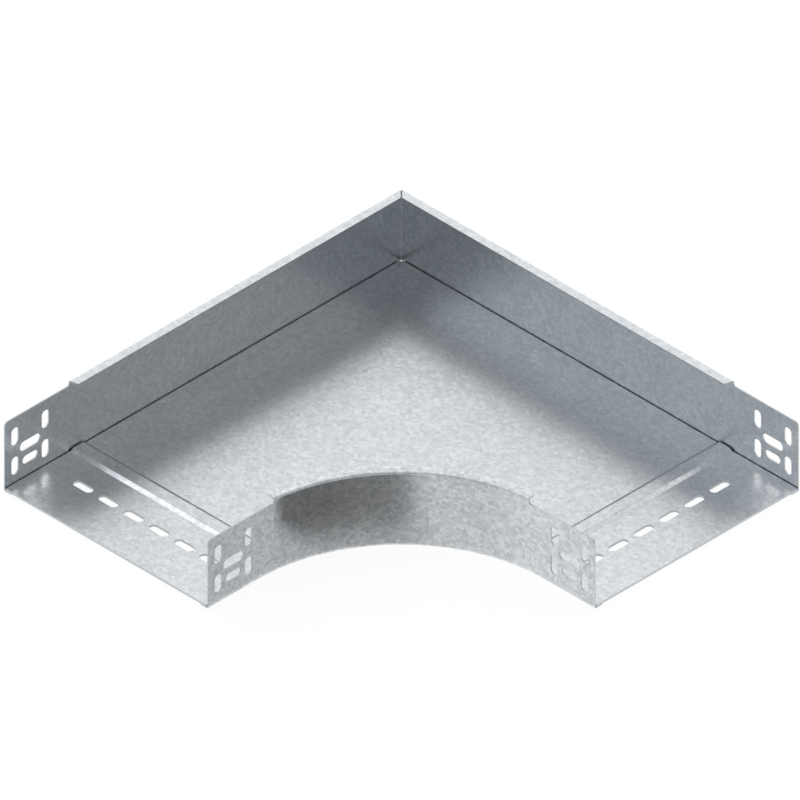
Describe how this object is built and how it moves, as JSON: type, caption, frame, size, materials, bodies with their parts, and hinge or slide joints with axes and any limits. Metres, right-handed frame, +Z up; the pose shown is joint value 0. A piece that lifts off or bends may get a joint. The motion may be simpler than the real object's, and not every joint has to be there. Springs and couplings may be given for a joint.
{
  "type": "cable tray bend",
  "caption": "Flat right-angle bend for a sheet steel cable tray, with a square outer corner, a curved inner rail and slotted open ends.",
  "frame": {"origin": "middle of the bend's box, on the plane it stands on", "axes": "+Z up; one open end faces -Y and the other +X; the square outer corner points to -X +Y"},
  "size_m": [0.393, 0.393, 0.0625],
  "materials": {
    "galvanised_steel": "hot-dip galvanised strip, matt with fine spangle"
  },
  "bodies": {
    "root": {"outer_rail": "galvanised_steel", "inner_rail": "galvanised_steel", "base_plate": "galvanised_steel", "end_plate_left": "galvanised_steel", "end_plate_right": "galvanised_steel"}
  },
  "joints": []
}
